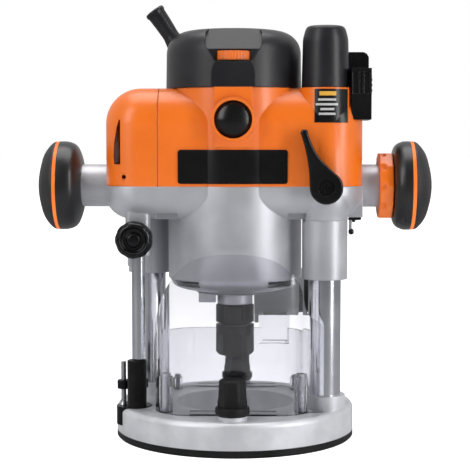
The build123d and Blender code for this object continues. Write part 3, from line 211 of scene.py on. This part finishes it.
silver = surface("silver_paint", (0.47, 0.475, 0.505), (0.56, 0.565, 0.60), (0.38, 0.48), 0.6,
                 1500, 0.12, 30, edge=0.0012)
cast_silver = surface("cast_silver", (0.64, 0.65, 0.68), (0.74, 0.75, 0.78), (0.42, 0.54), 0.55,
                      900, 0.25, 60)
orange = surface("orange_plastic", (0.69, 0.132, 0.005), (0.76, 0.152, 0.007), (0.28, 0.38), 0,
                 1600, 0.10, 22, coat=0.15, edge=0.0014)
orange_band = surface("orange_band", (0.80, 0.16, 0.008), (0.90, 0.20, 0.012), (0.38, 0.5), 0,
                      1800, 0.15, 50)
black = surface("black_plastic", (0.004, 0.004, 0.0045), (0.009, 0.009, 0.0095), (0.42, 0.54), 0,
                2200, 0.25, 40, specular=0.28)
gloss_black = surface("gloss_black", (0.0025, 0.0025, 0.003), (0.005, 0.005, 0.0055), (0.18, 0.28), 0,
                      1500, 0.06, 30, coat=0.1, specular=0.35)
cover_black = surface("cover_black", (0.007, 0.007, 0.009), (0.013, 0.013, 0.0155), (0.32, 0.42), 0,
                      2400, 0.22, 34, specular=0.42, edge=0.0012)
rubber = surface("grip_rubber", (0.012, 0.011, 0.012), (0.022, 0.020, 0.022), (0.50, 0.62), 0,
                 2600, 0.40, 45)
grip_gloss = surface("grip_gloss", (0.008, 0.008, 0.009), (0.015, 0.015, 0.016), (0.26, 0.36), 0,
                     1900, 0.14, 40)
black_steel = surface("black_steel", (0.002, 0.002, 0.0025), (0.006, 0.006, 0.0065), (0.30, 0.42), 0,
                      1200, 0.15, 80, specular=0.25)
steel = surface("bright_steel", (0.42, 0.43, 0.45), (0.55, 0.56, 0.58), (0.24, 0.34), 1.0,
                1500, 0.10, 90, edge=0.0003)
chrome = surface("ground_chrome", (0.62, 0.63, 0.67), (0.74, 0.75, 0.79), (0.15, 0.23), 1.0,
                 900, 0.05, 40, (1, 1, 14))
bronze = surface("bush_bronze", (0.40, 0.22, 0.08), (0.55, 0.32, 0.13), (0.35, 0.5), 1.0,
                 1500, 0.2, 90)
copper = surface("copper_wire", (0.52, 0.20, 0.08), (0.68, 0.30, 0.13), (0.3, 0.45), 0.9,
                 1500, 0.3, 200)
carbon = surface("carbon_block", (0.012, 0.012, 0.013), (0.03, 0.03, 0.032), (0.5, 0.7), 0,
                 2500, 0.3, 300)
iron = surface("sheet_iron", (0.14, 0.14, 0.15), (0.24, 0.24, 0.25), (0.4, 0.55), 0.9,
               1400, 0.2, 120, (1, 1, 9))
grey = surface("grey_plastic", (0.20, 0.205, 0.215), (0.26, 0.265, 0.275), (0.38, 0.48), 0,
               1800, 0.15, 35)
board = surface("circuit_board", (0.01, 0.08, 0.03), (0.02, 0.13, 0.05), (0.35, 0.5), 0,
                1500, 0.15, 150)


def add_rows(material, rows):
    """Plain printed bars: centre and half width along X, centre and half height along Z, colour."""
    nodes, links = material.node_tree.nodes, material.node_tree.links
    shader = nodes["Principled BSDF"]
    paint = shader.inputs["Base Color"].links[0].from_socket
    coords = nodes.new("ShaderNodeTexCoord")
    split = nodes.new("ShaderNodeSeparateXYZ")
    links.new(coords.outputs["Object"], split.inputs["Vector"])
    for x, half_width, z, half_height, colour in rows:
        across = maths(nodes, links, "COMPARE", split.outputs["X"], x * MM, half_width * MM)
        along = maths(nodes, links, "COMPARE", split.outputs["Z"], z * MM, half_height * MM)
        inside = maths(nodes, links, "MULTIPLY", across, along)
        paint = mixed(nodes, links, inside, paint, (*colour, 1))
    links.new(paint, shader.inputs["Base Color"])


label_black = surface("label_black", (0.003, 0.003, 0.0035), (0.006, 0.006, 0.0065), (0.25, 0.35), 0,
                      1500, 0.05, 30, specular=0.35)
ROW_GREY = (0.42, 0.42, 0.42)
add_rows(label_black, [
    (67.5, 6.0, 255.3, 1.5, (0.60, 0.33, 0.05)),
    (67.0, 6.5, 250.9, 0.8, ROW_GREY),
    (66.8, 8.0, 247.5, 0.8, ROW_GREY),
    (67.2, 5.0, 244.1, 0.8, ROW_GREY),
    (67.0, 6.0, 240.7, 0.8, ROW_GREY),
])


def clear_plastic(name):
    """Clear plastic that looks darker where it is seen edge on."""
    material, nodes, links, shader, coords = tree_of(name)
    broad = noise(nodes, links, coords, 14, 2.0)
    ripple = noise(nodes, links, coords, 55, 2.0)
    face = tones(nodes, links, broad, (0.75, 0.75, 0.785), (0.81, 0.81, 0.84))
    rim = tones(nodes, links, broad, (0.30, 0.30, 0.34), (0.36, 0.36, 0.40))
    slant = nodes.new("ShaderNodeLayerWeight")
    slant.inputs["Blend"].default_value = 0.32
    tint = mixed(nodes, links, slant.outputs["Facing"], face, rim)
    links.new(tint, shader.inputs["Base Color"])
    links.new(spread(nodes, links, ripple, 0.015, 0.05), shader.inputs["Roughness"])
    shader.inputs["Transmission Weight"].default_value = 1.0
    shader.inputs["IOR"].default_value = 1.44
    shader.inputs["Specular IOR Level"].default_value = 0.12
    bump(nodes, links, shader, ripple, 0.05, 0.001)
    return material


clear = clear_plastic("clear_plastic")

finishes = {
    "sole_plate": black, "base_casting": cast_silver, "sole_screws": steel, "column_left": chrome,
    "column_right": chrome, "column_bolts": steel, "plunge_spring": steel, "guard_front": clear,
    "guard_rear": clear, "guard_screws": steel, "dust_spout": grey, "dust_collar": black,
    "turret_disc": black_steel, "turret_post": black_steel, "turret_stop_screws": steel,
    "turret_stop_nuts": black_steel, "turret_screw": steel, "fence_knob_front": black,
    "fence_knob_rear": black, "lower_housing": silver, "motor_housing": orange, "end_cover": orange,
    "top_cover": cover_black, "spring_cap": cover_black, "column_bushes": bronze,
    "nameplate": gloss_black, "warning_label": label_black, "brush_caps": gloss_black,
    "brush_holders": bronze, "carbon_brushes": carbon, "stator_core": iron,
    "stator_windings": copper, "spindle_bearings": steel, "speed_control_board": board,
    "housing_screws": black_steel, "handle_tube_left": silver, "handle_tube_right": silver,
    "grip_core_left": grip_gloss, "grip_band_left": orange_band, "grip_cap_left": rubber,
    "cord_sleeve": rubber, "switch_housing": gloss_black, "spindle": steel, "armature": iron,
    "commutator": copper, "cooling_fan": black, "collet": steel, "collet_nut": black_steel,
    "winder_shaft": steel, "grip_core_right": grip_gloss, "grip_band_right": orange_band,
    "grip_cap_right": rubber, "selector_ring": orange, "plunge_lock_lever": gloss_black,
    "lever_screw": black_steel, "depth_rod": chrome, "depth_lock_knob": black,
    "speed_dial": orange, "switch_rocker": black, "switch_shutter": gloss_black,
}
for node_name, material in finishes.items():
    slots = NODES[node_name].data.materials
    slots.clear()
    slots.append(material)


# ---------------------------------------------------------------- mesh helpers
def mesh_object(name, mesh, material):
    piece = bpy.data.objects.new(name, mesh)
    scene.collection.objects.link(piece)
    mesh.materials.append(material)
    return piece


def soft_corners(points, radius, steps=4):
    """Outline in which a short curve takes the place of each inner corner."""
    result = [Vector(points[0])]
    for before, corner, after in zip(points, points[1:], points[2:]):
        before, corner, after = Vector(before), Vector(corner), Vector(after)
        back, ahead = before - corner, after - corner
        start = corner + back.normalized() * min(radius, back.length * 0.45)
        end = corner + ahead.normalized() * min(radius, ahead.length * 0.45)
        for step in range(steps + 1):
            t = step / steps
            result.append(start * (1 - t) ** 2 + corner * 2 * t * (1 - t) + end * t * t)
    result.append(Vector(points[-1]))
    return result


def dense(points, step):
    """The same outline with points no further apart than a step."""
    result = [Vector(points[0])]
    for low, high in zip(points, points[1:]):
        count = max(1, round((Vector(high) - Vector(low)).length / step))
        for index in range(1, count + 1):
            result.append(Vector(low).lerp(Vector(high), index / count))
    return result


def skin(name, rings, material, closed=False):
    """Smooth mesh over rings of points in millimetres; a ring of one point is a tip."""
    shape = bmesh.new()
    loops = [[shape.verts.new(Vector(point) * MM) for point in ring] for ring in rings]
    pairs = list(zip(loops, loops[1:]))
    if closed:
        pairs.append((loops[-1], loops[0]))
    for low, high in pairs:
        count = max(len(low), len(high))
        for index in range(count):
            after = (index + 1) % count
            corners = (low[index % len(low)], low[after % len(low)],
                       high[after % len(high)], high[index % len(high)])
            shape.faces.new(list(dict.fromkeys(corners)))
    bmesh.ops.recalc_face_normals(shape, faces=shape.faces)
    for face in shape.faces:
        face.smooth = True
    mesh = bpy.data.meshes.new(name)
    shape.to_mesh(mesh)
    shape.free()
    return mesh_object(name, mesh, material)


def seat(place, direction):
    """Matrix that lays local X along a direction, at a place in millimetres."""
    turn = Vector(direction).to_track_quat("X", "Z").to_matrix().to_4x4()
    return Matrix.Translation(Vector(place)) @ turn


def turned(name, outline, place, direction, material, count=72, swell=None, closed=False):
    """Surface turned about an axis from (along, radius) points; swell adds to the radius."""
    matrix = seat(place, direction)
    rings = []
    for along, radius in outline:
        if radius < 0.01:
            rings.append([matrix @ Vector((along, 0, 0))])
            continue
        ring = []
        for index in range(count):
            angle = 2 * pi * index / count
            size = radius + (swell(angle, along, radius) if swell else 0)
            ring.append(matrix @ Vector((along, size * cos(angle), size * sin(angle))))
        rings.append(ring)
    return skin(name, rings, material, closed)


def swept(name, path, radii, material, count=24):
    """Tube along a path with a radius at each point, closed at both ends."""
    rings = [[path[0]]]
    for index, (point, radius) in enumerate(zip(path, radii)):
        ahead = path[min(index + 1, len(path) - 1)] - path[max(index - 1, 0)]
        if ahead.length < 1e-6:
            ahead = path[-1] - path[0]
        matrix = seat(point, ahead)
        rings.append([
            matrix @ Vector((0, radius * cos(2 * pi * turn / count), radius * sin(2 * pi * turn / count)))
            for turn in range(count)
        ])
    rings.append([path[-1]])
    return skin(name, rings, material)


def box_mm(node):
    low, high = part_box(node)
    return Vector(low) / MM, Vector(high) / MM


# ---------------------------------------------------------------- selector ring
RING_SIDES = 10


def ring_facets(angle, along, radius):
    """Flat sides with soft corners, and a notch at each corner of the inner edge."""
    if radius < 20:
        return 0
    phase = (angle * RING_SIDES / (2 * pi)) % 1 - 0.5
    flats = -1.1 * (1 - (2 * abs(phase)) ** 2)
    corner = 1 - 2 * abs(phase)
    notch = -2.6 * max(0.0, 1 - corner / 0.34) ** 0.5 if corner < 0.34 else 0
    return flats + notch * max(0.0, min(1.0, (5.2 - along) / 1.2))


ring_low, ring_high = box_mm("selector_ring")
ring_width = ring_high.x - ring_low.x
ring_radius = (ring_high.z - ring_low.z) / 2
ring_centre = (ring_low + ring_high) / 2
RING_BORE = 16.3
ring_outline = soft_corners([
    (4.0, RING_BORE), (0.0, RING_BORE), (0.0, ring_radius),
    (ring_width, ring_radius), (ring_width, RING_BORE), (4.0, RING_BORE),
], 1.0)
selector = turned("selector_knob", dense(ring_outline[:-1], 0.7), (ring_low.x, ring_centre.y, ring_centre.z),
                  (1, 0, 0), orange, 240, ring_facets, closed=True)
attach(selector, "winder_selector")
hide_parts("selector_ring")

# ---------------------------------------------------------------- depth lock knob
KNOB_LOBES = 9


def knob_lobes(angle, along, radius):
    if radius < 9.5:
        return 0
    return -0.35 * (0.5 + 0.5 * cos(KNOB_LOBES * angle)) ** 2 * min(1.0, (radius - 9.5) / 2)


knob_low, knob_high = box_mm("depth_lock_knob")
knob_radius = (knob_high.x - knob_low.x) / 2
knob_x, knob_z = (knob_low.x + knob_high.x) / 2, (knob_low.z + knob_high.z) / 2
STUD, RIM_DEPTH = 2.9, 13.0
stud_length = knob_high.y - knob_low.y - RIM_DEPTH
knob_outline = soft_corners([
    (-stud_length, 0), (-stud_length, STUD), (0, STUD), (0, 11.4), (1.4, knob_radius - 0.2),
    (9.4, knob_radius), (11.8, 12.2), (RIM_DEPTH, 10.4), (12.4, 9.2), (10.2, 8.6), (9.8, 5.4),
    (12.2, 4.6), (12.6, 2.2), (12.6, 0),
], 0.9)
depth_knob = turned("depth_knob_cap", dense(knob_outline, 0.8), (knob_x, knob_low.y + RIM_DEPTH, knob_z),
                    (0, -1, 0), gloss_black, 144, knob_lobes)
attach(depth_knob, "depth_knob")
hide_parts("depth_lock_knob")

# ---------------------------------------------------------------- strain relief
SLEEVE_STEPS, SLEEVE_SIDES = 40, 48
sleeve_from, sleeve_bend, sleeve_to = (
    Vector(point) for point in ((-41, 25, 286), (-47.5, 25, 300), (-62.6, 25, 320.6))
)


def sleeve_ring(along, radius, heading_at):
    """Ring round the curved axis of the strain relief, square to the axis at heading_at."""
    centre = (sleeve_from * (1 - along) ** 2 + sleeve_bend * 2 * along * (1 - along)
              + sleeve_to * along * along)
    heading = (sleeve_bend - sleeve_from) * (1 - heading_at) + (sleeve_to - sleeve_bend) * heading_at
    matrix = seat(centre, heading)
    angles = [2 * pi * side / SLEEVE_SIDES for side in range(SLEEVE_SIDES)]
    return [matrix @ Vector((0, radius * cos(angle), radius * sin(angle))) for angle in angles], centre


sleeve_rings = [[sleeve_from]]
for step in range(SLEEVE_STEPS + 1):
    t = step / SLEEVE_STEPS
    flare = 8.8 - 2.6 * min(1.0, t / 0.5) + 1.0 * max(0.0, (t - 0.55) / 0.45)
    lip = 0.9 * max(0.0, 1 - abs(t - 0.965) / 0.04)
    sleeve_rings.append(sleeve_ring(t, flare + lip, t)[0])
# The open end turns inwards and ends in a short blind hole.
for inset, radius in ((0.0, 4.3), (0.10, 4.0), (0.30, 4.0)):
    ring, hole_centre = sleeve_ring(1 - inset, radius, 1)
    sleeve_rings.append(ring)
sleeve_rings.append([hole_centre])
sleeve = skin("strain_relief", sleeve_rings, cover_black)
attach(sleeve, "carriage")
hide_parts("cord_sleeve")

# ---------------------------------------------------------------- plunge spring
spring_low, spring_high = box_mm("plunge_spring")
spring_centre = (spring_low + spring_high) / 2
WIRE, COILS, COIL_STEPS = 0.65, 38, 18
coil_radius = (spring_high.x - spring_low.x) / 2 - WIRE
coil_path = []
for step in range(COILS * COIL_STEPS + 1):
    angle = 2 * pi * step / COIL_STEPS
    rise = (spring_high.z - spring_low.z - 2 * WIRE) * step / (COILS * COIL_STEPS)
    coil_path.append(Vector((
        spring_centre.x + coil_radius * cos(angle),
        spring_centre.y + coil_radius * sin(angle),
        spring_low.z + WIRE + rise,
    )))
spring = swept("return_spring", coil_path, [WIRE] * len(coil_path), steel, 8)
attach(spring, "base")
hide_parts("plunge_spring")
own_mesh(spring)

# ---------------------------------------------------------------- catch below the right end of the body
def rod(name, start, end, radius, material):
    """Pin with rounded ends."""
    start, end = Vector(start), Vector(end)
    length = (end - start).length
    quarter = [pi / 2 * step / 5 for step in range(1, 6)]
    outline = [(0, 0)] + [(radius * 0.7 * (1 - cos(angle)), radius * sin(angle)) for angle in quarter]
    outline += [(length - along, size) for along, size in reversed(outline)]
    piece = turned(name, dense(outline, 1.2), start, end - start, material, 32)
    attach(piece, "carriage")
    return piece


catch_y = -9
rod("catch_bar", (84.6, catch_y, 163.3), (94.4, catch_y, 163.7), 1.2, gloss_black)
rod("catch_stub", (88.8, catch_y, 163.4), (88.8, catch_y, 160.8), 1.3, gloss_black)
rod("catch_pin", (86.5, catch_y, 163.2), (86.5, catch_y, 154.6), 1.2, steel)
rod("catch_ball", (86.9, catch_y, 156.0), (86.9, catch_y, 151.6), 2.0, gloss_black)


# ---------------------------------------------------------------- floor
FLOOR_REACH = 14


def floor_material():
    """Pale floor that glows a little for the camera, and is darker in reflections to keep blacks black."""
    material = surface("studio_floor", (0.90, 0.90, 0.90), (0.93, 0.93, 0.93), (0.55, 0.65), 0,
                       300, 0.02, 6, edge=0)
    nodes, links = material.node_tree.nodes, material.node_tree.links
    shader = nodes["Principled BSDF"]
    shader.inputs["Emission Color"].default_value = (1, 1, 1, 1)
    seen = nodes.new("ShaderNodeLightPath")
    mirrored = maths(nodes, links, "SUBTRACT", seen.outputs["Is Glossy Ray"],
                     seen.outputs["Is Transmission Ray"])
    glow = spread(nodes, links, seen.outputs["Is Camera Ray"], 0.50, 0.85, 0, 1)
    links.new(mixed(nodes, links, mirrored, glow, 0.04, "FLOAT"), shader.inputs["Emission Strength"])
    tone = shader.inputs["Base Color"].links[0].from_socket
    links.new(mixed(nodes, links, mirrored, tone, (0.26, 0.26, 0.27, 1)), shader.inputs["Base Color"])
    return material


floor_mesh = bpy.data.meshes.new("floor")
floor_mesh.from_pydata(
    [(-FLOOR_REACH, -FLOOR_REACH, 0), (FLOOR_REACH, -FLOOR_REACH, 0),
     (FLOOR_REACH, FLOOR_REACH, 0), (-FLOOR_REACH, FLOOR_REACH, 0)], [], [(0, 1, 2, 3)]
)
mesh_object("floor", floor_mesh, floor_material())
